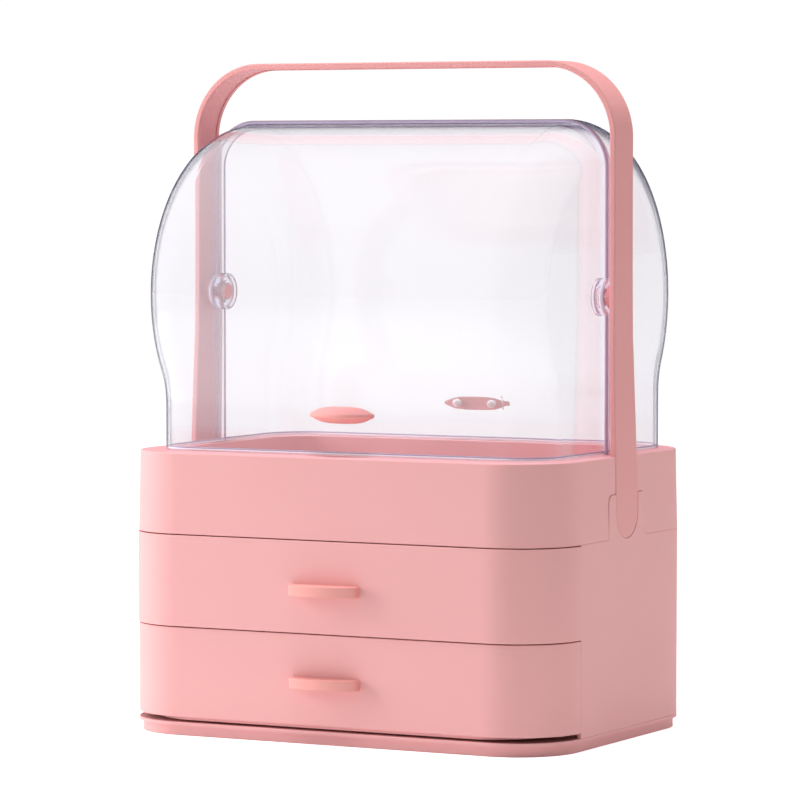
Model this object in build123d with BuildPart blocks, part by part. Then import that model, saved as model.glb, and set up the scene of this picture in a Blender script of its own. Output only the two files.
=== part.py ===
"""Makeup storage case: two drawers, an open top tray, a clear two-door dome and a carrying handle.

Millimetres. +Z is up, the drawers open towards -Y, and the origin is the middle of the footprint
on the surface that the case stands on. The dome doors turn about one axis along X, through the
two handle arms, and the front door nests inside the rear one.
"""
from build123d import *
from math import atan, degrees, sqrt
import os

# ---- footprint and storeys ----
CASE_WIDTH = 280.0
CASE_DEPTH = 200.0
CORNER_RADIUS = 40.0
PLINTH_HEIGHT = 5.85
PLINTH_INSET = 2.3
PLINTH_WALL = 2.2
BASE_SLAB = 2.0
LOWER_STOREY = 54.85
UPPER_STOREY = 53.2
TRAY_HEIGHT = 46.5
TRAY_DRAFT = 1.0            # how far the tray's sides lean in over its height
WALL = 2.4
SEAM_GAP = 0.6              # open line between drawer fronts, and under the tray
FRONT_FOOT_GAP = 3.05       # shadow gap under the lower drawer front
EDGE_BREAK = 0.5
SEAM_BREAK = 0.3

# ---- drawers ----
FRONT_RETURN = 40.0         # how far the drawer fronts wrap back round the corners
FRONT_SIDE_GAP = 0.3
UPPER_FRONT_PROUD = 0.5
TUB_SIDE_MARGIN = 15.0      # from the case side to the drawer tub
TUB_REAR_MARGIN = 15.0
TUB_WALL = 1.8
TUB_FLOOR = 2.0
TUB_FRONT_RADIUS = 35.0
TUB_REAR_RADIUS = 10.0
TUB_INNER_FILLET = 4.0
TUB_HEIGHT = 45.0
RUNNER_HEIGHT = 1.0
RUNNER_WIDTH = 3.0
RUNNER_INSET = 15.0         # from the tub's side in to the middle of a runner
GLIDE_GAP = 0.3
GUIDE_HEIGHT = 4.0
GUIDE_WIDTH = 1.6
GUIDE_GAP = 0.7
SHELF_THICKNESS = 1.6
SHELF_FIT = 0.2
SHELF_LEDGE_WIDTH = 3.2
SHELF_LEDGE_HEIGHT = 2.0

# ---- drawer pulls ----
PULL_WIDTH = 43.0
PULL_DEPTH = 11.0
PULL_END_DEPTH = 6.0        # how deep the pull's ends are before the corners are rounded
PULL_END_RADIUS = 5.0
PULL_HEIGHT = 6.0
PULL_WALL = 1.6
PULL_DROP = 1.3             # below the middle of the drawer front
PULL_BOSS_RADIUS = 3.2
PULL_SCREW_SPACING = 28.0

# ---- tray ----
RIM_THICKNESS = 2.2         # flat rim that the doors close onto
TRAY_SIDE_MARGIN = 19.0     # from the case side to the tray opening
TRAY_END_MARGIN = 23.0      # from the case front or back to the tray opening
TRAY_OPENING_RADIUS = 24.0
TRAY_WALL = 2.0
TRAY_FLOOR = 2.0
TRAY_FLOOR_RISE = 1.5       # floor underside above the tray's bottom edge
TRAY_INNER_FILLET = 6.0
RIM_BREAK = 0.9

# ---- handle ----
HANDLE_RISE = 223.6         # from the tray rim to the top of the handle
HANDLE_THICKNESS = 3.6
HANDLE_CORNER = 43.5
HANDLE_LEAN = 2.4           # how far each arm leans in above the tabs
LEAN_LENGTH = 88.0          # height over which it does, before it runs straight up
ARM_FOOT_DROP = 0.4         # arm's round end below the tray seam
ARM_FOOT_WIDTH = 29.0
ARM_PIVOT_WIDTH = 24.8
STRAP_WIDTH = 24.6
HANDLE_EDGE = 0.8
RECESS_DEPTH = 0.6
RECESS_MARGIN = 3.2
TAB_WIDTH = 48.0
TAB_RISE = 25.1             # tab top above the tray seam
TAB_CORNER = 5.0
TAB_BACKING = 2.3
TAB_SINK = 7.0              # thick pad behind the arm, below the tray seam
SLOT_FIT = 0.15
TAB_FIT = 0.3
PEG_RADIUS = 3.5
PEG_LENGTH = 4.4
PEG_FIT = 0.1
PEG_RISES = (8.1, 20.6)     # above the tray seam

# ---- dome doors ----
PIVOT_RISE = 89.6           # pivot axis above the tray rim
DOME_RADIUS = 100.8         # rear door, outside
DOME_SIDE_GAP = 11.0        # from the case side in to the rear door's end wall
DOME_END_RADIUS = 27.5      # rounding from the barrel into the end walls
DOOR_WALL = 2.0
NEST_GAP = 0.8              # between the nested doors
REAR_SKIRT = 87.0           # from the pivot back to the rear door's skirt
FRONT_SKIRT = 81.0          # from the pivot to the front door's skirt
SKIRT_BLEND = 26.0          # hollow round where the barrel runs into the skirt
DOOR_FOOT_GAP = 0.4
DOOR_OVERLAP = 3.0          # how far each door reaches past the middle
BOSS_RADIUS = 10.8
BOSS_LENGTH = 3.6
BOSS_LIP = 1.4
PIN_RADIUS = 3.0
PIN_FIT = 0.05
PIN_HEAD_RADIUS = 4.9
PIN_HEAD_LENGTH = 1.8
PIN_HEAD_FIT = 0.3
PIN_SKIN = 1.2              # arm left outside the blind end of the pin
ARM_BOSS_RADIUS = 7.0
ARM_BOSS_GAP = 0.4

# ---- door knobs ----
KNOB_WIDTH = 41.6
KNOB_DEPTH = 11.0
KNOB_HEIGHT = 9.6           # at the door
KNOB_RIM = 3.2              # thickness at the outer edge
KNOB_RISE = 23.2            # knob middle above the tray rim
KNOB_SCREW_SPACING = 23.0

# ---- screws ----
SCREW_RADIUS = 1.5
SCREW_HEAD_RADIUS = 2.9
SCREW_HEAD = 1.8
SCREW_FIT = 0.1
THREAD_FIT = 0.03
SCREW_REACH = 9.0
KNOB_SCREW_REACH = 4.0
PEG_SCREW_REACH = 5.4
COLUMN_RADIUS = 3.6
COLUMN_WEB = 3.0            # rib that ties a column to the wall
COLUMN_HEIGHT = 22.0
COLUMN_INSET = 8.0          # from the case side to a column's middle
REAR_COLUMN_SIDE = 44.0     # from the case side to a rear column's middle
FRONT_COLUMN_Y = -50.0
LUG_DROP = 2.0              # tray lugs below the tray seam
LUG_THICKNESS = 2.0
LUG_REACH = 11.0
LUG_WIDTH = 12.0
TRAY_BOSS_INSET = 9.6

# ---- modelling ----
TINY = 0.01                 # places nearer together than this count as the same
FAR = 2 * CASE_WIDTH        # a length that clears the whole case, for cutting blocks

# ---- heights worked out from the sizes above ----
BASE_TOP = PLINTH_HEIGHT + BASE_SLAB
DRAWER_SEAM = BASE_TOP + LOWER_STOREY
TRAY_SEAM = DRAWER_SEAM + UPPER_STOREY
RIM = TRAY_SEAM + TRAY_HEIGHT
PIVOT = RIM + PIVOT_RISE
TOP = RIM + HANDLE_RISE
HALF_WIDTH = CASE_WIDTH / 2
HALF_DEPTH = CASE_DEPTH / 2
REAR_COLUMN_X = HALF_WIDTH - REAR_COLUMN_SIDE
FRONT_END = -HALF_DEPTH + FRONT_RETURN
LOWER_FRONT = (BASE_TOP + FRONT_FOOT_GAP, DRAWER_SEAM - SEAM_GAP / 2)
UPPER_FRONT = (DRAWER_SEAM + SEAM_GAP / 2, TRAY_SEAM - SEAM_GAP)
SHELF_TOP = DRAWER_SEAM - SEAM_GAP
LOWER_TUB_FLOOR = BASE_TOP + RUNNER_HEIGHT + GLIDE_GAP
UPPER_TUB_FLOOR = SHELF_TOP + RUNNER_HEIGHT + GLIDE_GAP
TUB_HALF_WIDTH = HALF_WIDTH - TUB_SIDE_MARGIN
TUB_FRONT = -HALF_DEPTH + WALL
TUB_REAR = HALF_DEPTH - TUB_REAR_MARGIN
ARM_FOOT = TRAY_SEAM - ARM_FOOT_DROP
ARM_INNER = HALF_WIDTH - HANDLE_THICKNESS
DOME_HALF_LENGTH = HALF_WIDTH - DOME_SIDE_GAP
PAD_INNER = ARM_INNER - SLOT_FIT - TAB_BACKING
TAB_TOP = TRAY_SEAM + TAB_RISE
NEST_STEP = DOOR_WALL + NEST_GAP
DOOR_FOOT = RIM + DOOR_FOOT_GAP


# ---------------------------------------------------------------- outlines


def case_outline(inset: float) -> None:
    """Footprint of the case, drawn `inset` inside its outer face."""
    RectangleRounded(CASE_WIDTH - 2 * inset, CASE_DEPTH - 2 * inset, CORNER_RADIUS - inset)


def strip(y_from: float, y_to: float, mode: Mode) -> None:
    """Band across the sketch between two Y places, used to trim an outline."""
    with Locations((0, (y_from + y_to) / 2)):
        Rectangle(FAR, y_to - y_from, mode=mode)


def arm_lean(z: float) -> float:
    """How far the arm's outer face stands inside the case side at height `z`."""
    return HANDLE_LEAN * min(z - TAB_TOP, LEAN_LENGTH) / LEAN_LENGTH


def arm_outline(clearance: float) -> Sketch:
    """Side view of the handle (sketch X is case Y, sketch Y is height), with a round foot."""
    foot_radius = ARM_FOOT_WIDTH / 2 + clearance
    foot_centre = ARM_FOOT + ARM_FOOT_WIDTH / 2
    widths = ((ARM_FOOT_WIDTH, foot_centre), (ARM_PIVOT_WIDTH, PIVOT), (STRAP_WIDTH, TOP))
    right = [(width / 2 + clearance, height) for width, height in widths]
    left = [(-x, height) for x, height in reversed(right)]
    with BuildSketch() as outline:
        with BuildLine():
            Spline(*right, tangents=((0, 1), (0, 1)))
            Line(right[-1], left[0])
            Spline(*left, tangents=((0, -1), (0, -1)))
            ThreePointArc(left[-1], (0, foot_centre - foot_radius), right[0])
        make_face()
    return outline.sketch


def pull_plan() -> Sketch:
    """Plan of a pull: straight back on the X axis, short ends, bowed front towards -Y."""
    end = PULL_WIDTH / 2
    with BuildSketch() as plan:
        with BuildLine():
            Line((-end, 0), (end, 0))
            Line((end, 0), (end, -PULL_END_DEPTH))
            ThreePointArc((end, -PULL_END_DEPTH), (0, -PULL_DEPTH), (-end, -PULL_END_DEPTH))
            Line((-end, -PULL_END_DEPTH), (-end, 0))
        make_face()
        fillet(plan.vertices().group_by(Axis.Y)[0], PULL_END_RADIUS)
    return plan.sketch


def mirrored_pair(x: float, y: float) -> list:
    """The two places (x, y) and (-x, y)."""
    return [(x, y), (-x, y)]


COLUMN_PLACES = (
    mirrored_pair(HALF_WIDTH - COLUMN_INSET, FRONT_COLUMN_Y)
    + mirrored_pair(REAR_COLUMN_X, HALF_DEPTH - COLUMN_INSET)
)
TRAY_BOSS_PLACES = (
    mirrored_pair(HALF_WIDTH - TRAY_BOSS_INSET, FRONT_COLUMN_Y)
    + mirrored_pair(REAR_COLUMN_X, HALF_DEPTH - TRAY_BOSS_INSET)
)


# ---------------------------------------------------------------- screws


def screws_along(plane: Plane, places: list, grip: float, reach: float) -> Part:
    """Pan-head screws whose heads sit on `plane` and whose shanks run against its normal."""
    with BuildPart() as screws:
        with BuildSketch(plane):
            with Locations(*places):
                Circle(SCREW_HEAD_RADIUS)
        extrude(amount=SCREW_HEAD)
        with BuildSketch(plane):
            with Locations(*places):
                Circle(SCREW_RADIUS)
        extrude(amount=-(grip + reach))
    return screws.part


# ---------------------------------------------------------------- carcass


def slide_ribs(top: float) -> Part:
    """Runner and guide ribs of one drawer, standing on the plane at `top`."""
    runner = (TUB_REAR - FRONT_END, (TUB_REAR + FRONT_END) / 2)
    guide_end = HALF_DEPTH - CORNER_RADIUS
    guide = (guide_end - FRONT_END, (guide_end + FRONT_END) / 2)
    guide_x = TUB_HALF_WIDTH + GUIDE_GAP + GUIDE_WIDTH / 2
    with BuildPart() as ribs:
        with BuildSketch(Plane.XY.offset(top)):
            with Locations(*mirrored_pair(TUB_HALF_WIDTH - RUNNER_INSET, runner[1])):
                Rectangle(RUNNER_WIDTH, runner[0])
        extrude(amount=RUNNER_HEIGHT)
        with BuildSketch(Plane.XY.offset(top)):
            with Locations(*mirrored_pair(guide_x, guide[1])):
                Rectangle(GUIDE_WIDTH, guide[0])
        extrude(amount=GUIDE_HEIGHT)
    return ribs.part


def make_base_plate() -> Part:
    """Flanged base slab on a hollow plinth, with the lower drawer's ribs on top."""
    rib_top = PLINTH_HEIGHT
    rib_height = PLINTH_HEIGHT / 2
    with BuildPart() as base_plate:
        with BuildSketch(Plane.XY.offset(PLINTH_HEIGHT)):
            case_outline(0)
        extrude(amount=BASE_SLAB)
        slab_rim = base_plate.edges().group_by(Axis.Z)[-1]
        chamfer(slab_rim, SEAM_BREAK)
        with BuildSketch():
            case_outline(PLINTH_INSET)
            with BuildSketch(mode=Mode.SUBTRACT):
                case_outline(PLINTH_INSET + PLINTH_WALL)
        extrude(amount=PLINTH_HEIGHT)
        with BuildSketch(Plane.XY.offset(rib_top)):
            with GridLocations(CASE_WIDTH / 4, 0, 3, 1):
                Rectangle(PLINTH_WALL, CASE_DEPTH - 2 * (PLINTH_INSET + PLINTH_WALL))
            Rectangle(CASE_WIDTH - 2 * (PLINTH_INSET + PLINTH_WALL), PLINTH_WALL)
        extrude(amount=-rib_height)
        add(slide_ribs(BASE_TOP))
        with BuildSketch(Plane.XY.offset(BASE_TOP)):
            with Locations(*COLUMN_PLACES):
                Circle(SCREW_RADIUS + SCREW_FIT)
        extrude(amount=-BASE_SLAB, mode=Mode.SUBTRACT)
    base_plate.part.label = "base_plate"
    return base_plate.part


def make_cabinet_shell() -> Part:
    """U-shaped side and back wall with the two handle tabs, shelf ledge and screw columns."""
    height = TRAY_SEAM - BASE_TOP
    with BuildPart() as cabinet_shell:
        with BuildSketch(Plane.XY.offset(BASE_TOP)):
            case_outline(0)
            with BuildSketch(mode=Mode.SUBTRACT):
                case_outline(WALL)
            strip(-FAR, FRONT_END, Mode.SUBTRACT)
        extrude(amount=height)
        with BuildSketch(Plane.XY.offset(SHELF_TOP - SHELF_THICKNESS)):
            case_outline(WALL)
            with BuildSketch(mode=Mode.SUBTRACT):
                case_outline(WALL + SHELF_LEDGE_WIDTH)
            strip(-FAR, FRONT_END, Mode.SUBTRACT)
        extrude(amount=-SHELF_LEDGE_HEIGHT)
        with BuildSketch(Plane.XY.offset(BASE_TOP)):
            with Locations(*COLUMN_PLACES):
                Circle(COLUMN_RADIUS)
            with Locations(*mirrored_pair(HALF_WIDTH - COLUMN_INSET / 2, FRONT_COLUMN_Y)):
                Rectangle(COLUMN_INSET, COLUMN_WEB)
            with Locations(*mirrored_pair(REAR_COLUMN_X, HALF_DEPTH - COLUMN_INSET / 2)):
                Rectangle(COLUMN_WEB, COLUMN_INSET)
            with BuildSketch(mode=Mode.INTERSECT):
                case_outline(WALL / 2)
        extrude(amount=COLUMN_HEIGHT)
        with BuildSketch(Plane.XY.offset(TRAY_SEAM - LUG_DROP)):
            with Locations(*mirrored_pair(HALF_WIDTH - LUG_REACH / 2 - WALL / 2, FRONT_COLUMN_Y)):
                Rectangle(LUG_REACH + WALL, LUG_WIDTH)
            with Locations(*mirrored_pair(REAR_COLUMN_X, HALF_DEPTH - LUG_REACH / 2 - WALL / 2)):
                Rectangle(LUG_WIDTH, LUG_REACH + WALL)
            with BuildSketch(mode=Mode.INTERSECT):
                case_outline(WALL / 2)
        extrude(amount=-LUG_THICKNESS)
        for side in (1, -1):
            face = Plane(origin=(side * HALF_WIDTH, 0, 0), x_dir=(0, 1, 0), z_dir=(1, 0, 0))
            pad_depth = HALF_WIDTH - PAD_INNER
            with BuildSketch(face):
                with Locations((0, (TAB_TOP + TRAY_SEAM - TAB_SINK) / 2)):
                    RectangleRounded(TAB_WIDTH, TAB_RISE + TAB_SINK, TAB_CORNER)
            extrude(amount=-side * pad_depth)
            with BuildSketch(face):
                add(arm_outline(SLOT_FIT))
            extrude(amount=-side * (HANDLE_THICKNESS + SLOT_FIT), mode=Mode.SUBTRACT)
            with BuildSketch(face):
                with Locations(*[(0, TRAY_SEAM + rise) for rise in PEG_RISES]):
                    Circle(PEG_RADIUS + PEG_FIT)
            extrude(amount=-side * pad_depth, mode=Mode.SUBTRACT)
        with BuildSketch(Plane.XY.offset(BASE_TOP)):
            with Locations(*COLUMN_PLACES):
                Circle(SCREW_RADIUS + THREAD_FIT)
        extrude(amount=SCREW_REACH + EDGE_BREAK, mode=Mode.SUBTRACT)
        with BuildSketch(Plane.XY.offset(TRAY_SEAM - LUG_DROP)):
            with Locations(*TRAY_BOSS_PLACES):
                Circle(SCREW_RADIUS + SCREW_FIT)
        extrude(amount=-LUG_THICKNESS, mode=Mode.SUBTRACT)
    cabinet_shell.part.label = "cabinet_shell"
    return cabinet_shell.part


def make_mid_shelf() -> Part:
    """Sheet between the drawers, resting on the shell's ledge, with the upper drawer's ribs."""
    with BuildPart() as mid_shelf:
        with BuildSketch(Plane.XY.offset(SHELF_TOP)):
            case_outline(WALL + SHELF_FIT)
            strip(-FAR, FRONT_END, Mode.SUBTRACT)
        extrude(amount=-SHELF_THICKNESS)
        add(slide_ribs(SHELF_TOP))
    mid_shelf.part.label = "mid_shelf"
    return mid_shelf.part


def make_top_tray() -> Part:
    """Tray moulding: leaning skirt, flat rim, sunk tub, and the openings for tabs and arms."""
    draft = degrees(atan(TRAY_DRAFT / TRAY_HEIGHT))
    opening = (CASE_WIDTH - 2 * TRAY_SIDE_MARGIN, CASE_DEPTH - 2 * TRAY_END_MARGIN)
    tub_bottom = TRAY_SEAM + TRAY_FLOOR_RISE
    with BuildPart() as top_tray:
        with BuildSketch(Plane.XY.offset(TRAY_SEAM)):
            case_outline(0)
        extrude(amount=TRAY_HEIGHT, taper=draft)
        fillet(top_tray.edges().group_by(Axis.Z)[-1], RIM_BREAK)
        chamfer(top_tray.edges().group_by(Axis.Z)[0], SEAM_BREAK)
        with BuildSketch(Plane.XY.offset(TRAY_SEAM)):
            case_outline(WALL)
        extrude(amount=TRAY_HEIGHT - RIM_THICKNESS, taper=draft, mode=Mode.SUBTRACT)
        with BuildSketch(Plane.XY.offset(tub_bottom)):
            RectangleRounded(opening[0] + 2 * TRAY_WALL, opening[1] + 2 * TRAY_WALL,
                             TRAY_OPENING_RADIUS + TRAY_WALL)
        extrude(amount=RIM - RIM_THICKNESS - tub_bottom)
        with BuildSketch(Plane.XY.offset(TRAY_SEAM - LUG_DROP)):
            with Locations(*TRAY_BOSS_PLACES):
                Circle(COLUMN_RADIUS)
        extrude(amount=RIM - RIM_THICKNESS - TRAY_SEAM + LUG_DROP)
        for side in (1, -1):
            face = Plane(origin=(side * PAD_INNER, 0, 0), x_dir=(0, 1, 0), z_dir=(1, 0, 0))
            with BuildSketch(face):
                with Locations((0, (RIM + TAB_TOP) / 2)):
                    Rectangle(TAB_WIDTH, RIM - TAB_TOP - RIM_THICKNESS)
            extrude(amount=side * (HALF_WIDTH - PAD_INNER - TRAY_DRAFT - WALL / 2))
            with BuildSketch(face):
                with Locations((0, TAB_TOP + TAB_FIT - (TAB_RISE + TAB_SINK) / 2)):
                    RectangleRounded(TAB_WIDTH + 2 * TAB_FIT, TAB_RISE + TAB_SINK, TAB_CORNER)
            extrude(amount=side * FAR, mode=Mode.SUBTRACT)
            channel = Plane(origin=(side * (ARM_INNER - SLOT_FIT - arm_lean(RIM)), 0, 0),
                            x_dir=(0, 1, 0), z_dir=(1, 0, 0))
            with BuildSketch(channel):
                add(arm_outline(SLOT_FIT))
            extrude(amount=side * FAR, mode=Mode.SUBTRACT)
        with BuildSketch(Plane.XY.offset(RIM)):
            RectangleRounded(opening[0], opening[1], TRAY_OPENING_RADIUS)
        extrude(amount=-(RIM - tub_bottom - TRAY_FLOOR), mode=Mode.SUBTRACT)
        floor_top = tub_bottom + TRAY_FLOOR
        floor_edges = top_tray.edges().filter_by(
            lambda edge: abs(edge.center().Z - floor_top) < TINY)
        fillet(floor_edges, TRAY_INNER_FILLET)
        with BuildSketch(Plane.XY.offset(TRAY_SEAM - LUG_DROP)):
            with Locations(*TRAY_BOSS_PLACES):
                Circle(SCREW_RADIUS + THREAD_FIT)
        extrude(amount=SCREW_REACH + EDGE_BREAK, mode=Mode.SUBTRACT)
    top_tray.part.label = "top_tray"
    return top_tray.part


# ---------------------------------------------------------------- handle


def strap_face(inward: float) -> Sketch:
    """Front view of the region under the handle's outer face, drawn `inward` of that face."""
    foot = ARM_FOOT - ARM_FOOT_WIDTH
    half_low = HALF_WIDTH - inward
    half_top = HALF_WIDTH - HANDLE_LEAN - inward
    right_arm = [(half_low, foot), (half_low, TAB_TOP), (half_top, TAB_TOP + LEAN_LENGTH),
                 (half_top, TOP - inward)]
    left_arm = [(-x, z) for x, z in reversed(right_arm)]
    with BuildSketch() as face:
        with BuildLine():
            FilletPolyline(*right_arm, *left_arm, radius=HANDLE_CORNER - inward)
            Line((-half_low, foot), (half_low, foot))
        make_face()
    return face.sketch


def make_handle() -> Part:
    """One bent strap with tapering arms, a shallow inner recess, pivot bosses and foot pegs."""
    front = Plane.XZ
    side_view = Plane.YZ
    with BuildPart() as recess:
        with BuildSketch(front):
            add(strap_face(HANDLE_THICKNESS - RECESS_DEPTH))
            add(strap_face(HANDLE_THICKNESS), mode=Mode.SUBTRACT)
        extrude(amount=CASE_DEPTH, both=True)
        with BuildSketch(side_view):
            add(arm_outline(-RECESS_MARGIN))
            with Locations((0, RIM)):
                Rectangle(FAR, 2 * ARM_FOOT_WIDTH, mode=Mode.SUBTRACT)
        extrude(amount=CASE_WIDTH, both=True, mode=Mode.INTERSECT)
    with BuildPart() as handle:
        with BuildSketch(front):
            add(strap_face(0))
            add(strap_face(HANDLE_THICKNESS), mode=Mode.SUBTRACT)
        extrude(amount=CASE_DEPTH, both=True)
        with BuildSketch(side_view):
            add(arm_outline(0))
        extrude(amount=CASE_WIDTH, both=True, mode=Mode.INTERSECT)
        long_edges = handle.edges().filter_by(lambda edge: abs(edge.center().Y) > STRAP_WIDTH / 4)
        fillet(long_edges, HANDLE_EDGE)
        add(recess.part, mode=Mode.SUBTRACT)
        boss_start = DOME_HALF_LENGTH + ARM_BOSS_GAP
        arm_inner = ARM_INNER - arm_lean(PIVOT)
        pin_end = HALF_WIDTH - arm_lean(PIVOT) - PIN_SKIN
        for side in (1, -1):
            foot_face = Plane(origin=(side * (ARM_INNER - PEG_LENGTH), 0, 0),
                              x_dir=(0, 1, 0), z_dir=(side, 0, 0))
            with BuildSketch(foot_face):
                with Locations(*[(0, side * (TRAY_SEAM + rise)) for rise in PEG_RISES]):
                    Circle(PEG_RADIUS)
            extrude(amount=PEG_LENGTH + HANDLE_EDGE)
            boss_face = Plane(origin=(side * boss_start, 0, PIVOT), z_dir=(side, 0, 0))
            with BuildSketch(boss_face):
                Circle(ARM_BOSS_RADIUS)
            extrude(amount=arm_inner - boss_start + RECESS_DEPTH + HANDLE_EDGE)
            with BuildSketch(boss_face):
                Circle(PIN_RADIUS + THREAD_FIT)
            extrude(amount=pin_end - boss_start, mode=Mode.SUBTRACT)
            with BuildSketch(foot_face):
                with Locations(*[(0, side * (TRAY_SEAM + rise)) for rise in PEG_RISES]):
                    Circle(SCREW_RADIUS + THREAD_FIT)
            extrude(amount=PEG_SCREW_REACH + EDGE_BREAK, mode=Mode.SUBTRACT)
    handle.part.label = "handle"
    return handle.part


# ---------------------------------------------------------------- dome doors


def dome_section(radius: float, skirt: float, blend: float) -> Sketch:
    """Cross-section of the dome: a barrel arc on the pivot axis that flows into upright skirts."""
    drop = sqrt((radius + blend) ** 2 - (skirt + blend) ** 2)
    share = radius / (radius + blend)
    arc_end = ((skirt + blend) * share, PIVOT - drop * share)
    skirt_top = (skirt, PIVOT - drop)
    blend_middle_x = skirt + blend - blend * cos_of_half(drop, skirt + blend)
    blend_middle_z = PIVOT - drop + blend * sin_of_half(drop, skirt + blend)
    foot = TRAY_SEAM
    with BuildSketch() as section:
        with BuildLine():
            ThreePointArc(arc_end, (0, PIVOT + radius), (-arc_end[0], arc_end[1]))
            ThreePointArc(arc_end, (blend_middle_x, blend_middle_z), skirt_top)
            ThreePointArc((-arc_end[0], arc_end[1]), (-blend_middle_x, blend_middle_z),
                          (-skirt_top[0], skirt_top[1]))
            Line(skirt_top, (skirt, foot))
            Line((-skirt_top[0], skirt_top[1]), (-skirt, foot))
            Line((-skirt, foot), (skirt, foot))
        make_face()
    return section.sketch


def cos_of_half(rise: float, run: float) -> float:
    """Cosine of half the slope angle rise/run."""
    slope_cosine = run / sqrt(rise ** 2 + run ** 2)
    return sqrt((1 + slope_cosine) / 2)


def sin_of_half(rise: float, run: float) -> float:
    """Sine of half the slope angle rise/run."""
    slope_cosine = run / sqrt(rise ** 2 + run ** 2)
    return sqrt((1 - slope_cosine) / 2)


def dome_form(inset: float, skirt: float) -> Part:
    """Whole barrel form, `inset` inside the rear door's outer face, with rounded end walls."""
    with BuildPart() as form:
        with BuildSketch(Plane.YZ):
            add(dome_section(DOME_RADIUS - inset, skirt, SKIRT_BLEND + inset))
        extrude(amount=DOME_HALF_LENGTH - inset, both=True)
        ends = form.edges().filter_by(lambda edge: abs(abs(edge.center().X)
                                      - DOME_HALF_LENGTH + inset) < TINY)
        rounded = ends.filter_by(lambda edge: edge.center().Z > TRAY_SEAM + TINY)
        fillet(rounded, DOME_END_RADIUS - inset)
    return form.part


def door_half(inset: float, skirt: float, facing: int) -> Part:
    """Clear shell of one door. `facing` is -1 for the front door and +1 for the rear one."""
    outer = dome_form(inset, skirt)
    inner = dome_form(inset + DOOR_WALL, skirt - DOOR_WALL)
    height = TOP - DOOR_FOOT
    with BuildPart() as half:
        add(outer)
        add(inner, mode=Mode.SUBTRACT)
        with BuildSketch(Plane.XY.offset(DOOR_FOOT)):
            with Locations((0, facing * (CASE_DEPTH / 2 - DOOR_OVERLAP))):
                Rectangle(FAR, CASE_DEPTH)
        extrude(amount=height, mode=Mode.INTERSECT)
    return half.part


def make_front_door() -> Part:
    """Inner, front half of the dome, with the long pivot bosses that hide the pin heads."""
    boss_base = DOME_HALF_LENGTH - NEST_STEP - DOOR_WALL
    with BuildPart() as front_door:
        add(door_half(NEST_STEP, FRONT_SKIRT, -1))
        for side in (1, -1):
            boss_face = Plane(origin=(side * (boss_base - BOSS_LENGTH), 0, PIVOT),
                              z_dir=(side, 0, 0))
            with BuildSketch(boss_face):
                Circle(BOSS_RADIUS)
            extrude(amount=BOSS_LENGTH + DOOR_WALL)
            with BuildSketch(boss_face):
                Circle(BOSS_RADIUS - BOSS_LIP)
                Circle(PIN_HEAD_RADIUS + PIN_HEAD_FIT + BOSS_LIP, mode=Mode.SUBTRACT)
            extrude(amount=BOSS_LIP, mode=Mode.SUBTRACT)
            with BuildSketch(boss_face):
                Circle(PIN_HEAD_RADIUS + PIN_HEAD_FIT)
            extrude(amount=PIN_HEAD_LENGTH, mode=Mode.SUBTRACT)
            with BuildSketch(boss_face):
                Circle(PIN_RADIUS + PIN_FIT)
            extrude(amount=BOSS_LENGTH + DOOR_WALL, mode=Mode.SUBTRACT)
        add(knob_screw_holes(-FRONT_SKIRT, -1), mode=Mode.SUBTRACT)
    front_door.part.label = "front_door_shell"
    return front_door.part


def make_rear_door() -> Part:
    """Outer, rear half of the dome, bored for the same pins."""
    with BuildPart() as rear_door:
        add(door_half(0, REAR_SKIRT, 1))
        for side in (1, -1):
            end_face = Plane(origin=(side * DOME_HALF_LENGTH, 0, PIVOT), z_dir=(side, 0, 0))
            with BuildSketch(end_face):
                Circle(BOSS_RADIUS)
            extrude(amount=-DOOR_WALL)
            with BuildSketch(end_face):
                Circle(PIN_RADIUS + PIN_FIT)
            extrude(amount=-DOOR_WALL, mode=Mode.SUBTRACT)
        add(knob_screw_holes(REAR_SKIRT, 1), mode=Mode.SUBTRACT)
    rear_door.part.label = "rear_door_shell"
    return rear_door.part


def knob_screw_holes(skirt_y: float, facing: int) -> Part:
    """The two holes to cut through the skirt that carries a knob."""
    skirt_face = Plane(origin=(0, skirt_y, RIM + KNOB_RISE), x_dir=(1, 0, 0), z_dir=(0, facing, 0))
    with BuildPart() as holes:
        with BuildSketch(skirt_face):
            with Locations(*mirrored_pair(KNOB_SCREW_SPACING / 2, 0)):
                Circle(SCREW_RADIUS + SCREW_FIT)
        extrude(amount=2 * DOOR_WALL, both=True)
    return holes.part


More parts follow.
